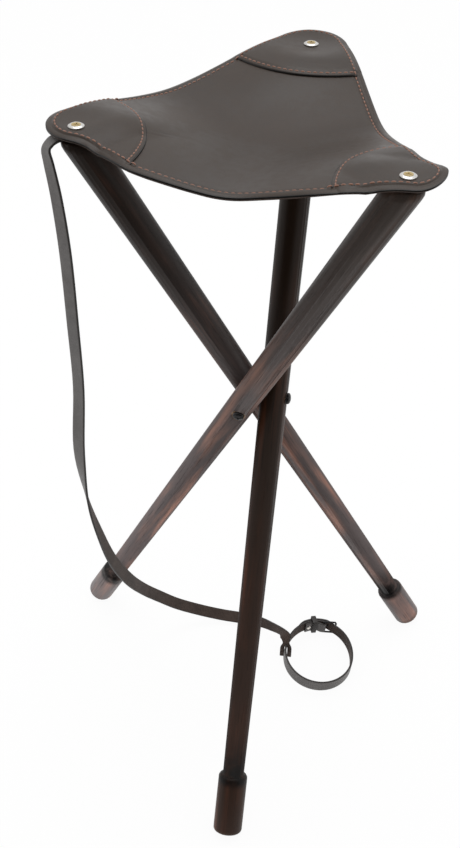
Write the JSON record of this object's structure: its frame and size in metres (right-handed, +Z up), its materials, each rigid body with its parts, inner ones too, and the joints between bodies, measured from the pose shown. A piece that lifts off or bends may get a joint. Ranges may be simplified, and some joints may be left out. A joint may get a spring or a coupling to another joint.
{
  "type": "tripod hunting stool",
  "caption": "Folding tripod stool: turned wooden legs crossing on a three-way bolt, a hanging leather seat screwed to their tops and a buckled carry strap.",
  "frame": {"origin": "on the floor under the middle of the box of legs, bolts and seat, with the loose strap left out", "axes": "+Z up; +X along the short eye bolt, out through the front leg; -Y towards the front foot"},
  "size_m": [0.4152, 0.4204, 0.713],
  "materials": {
    "stained_wood": "dark stained, satin",
    "seat_leather": "smooth, waxed",
    "strap_leather": "smooth grain",
    "black_steel": "black, semi-gloss",
    "nickel": "nickel plated",
    "brass": "polished"
  },
  "bodies": {
    "pivot": {"pivot_bolt": "black_steel", "pivot_washer": "black_steel", "pivot_cap_nut": "black_steel", "eye_bolt": "black_steel", "eye_washer": "black_steel", "eye_cap_nut": "black_steel", "seat_leather": "seat_leather", "seat_lining": "seat_leather", "back_corner_patch": "seat_leather", "left_corner_patch": "seat_leather", "right_corner_patch": "seat_leather", "carry_strap": "strap_leather", "buckle_strap": "strap_leather", "buckle_frame": "black_steel", "strap_keeper": "strap_leather", "chape_rivet": "nickel"},
    "front_leg": {"front_leg": "stained_wood", "back_seat_screw": "brass", "back_cup_washer": "nickel"},
    "left_leg": {"left_leg": "stained_wood", "right_seat_screw": "brass", "right_cup_washer": "nickel"},
    "right_leg": {"right_leg": "stained_wood", "left_seat_screw": "brass", "left_cup_washer": "nickel"},
    "buckle_prong": {"buckle_prong": "black_steel"}
  },
  "joints": [
    {"name": "front_leg_fold", "type": "hinge", "parent": "pivot", "child": "front_leg", "pos_m": [0.02872, 0.02684, 0.41317], "axis": [1, 0, 0], "range_deg": [0, 40.5], "deforming": ["seat_leather", "seat_lining", "back_corner_patch", "left_corner_patch", "right_corner_patch", "carry_strap", "buckle_strap"]},
    {"name": "left_leg_fold", "type": "hinge", "parent": "pivot", "child": "left_leg", "pos_m": [-0.00202, 0.01142, 0.40894], "axis": [0, -0.9642, -0.265], "range_deg": [0, 22.7]},
    {"name": "right_leg_fold", "type": "hinge", "parent": "pivot", "child": "right_leg", "pos_m": [-0.00202, 0.04225, 0.41741], "axis": [0, 0.9642, 0.265], "range_deg": [0, 22.7]},
    {"name": "prong_lift", "type": "hinge", "parent": "pivot", "child": "buckle_prong", "pos_m": [0.09395, 0.10623, 0.01192], "axis": [0.0976, 0, 0.9952], "range_deg": [0, 12]}
  ],
  "couplings": [
    {"joint": "left_leg_fold", "follows": "front_leg_fold", "ratio": 0.55827},
    {"joint": "right_leg_fold", "follows": "front_leg_fold", "ratio": 0.55827}
  ]
}
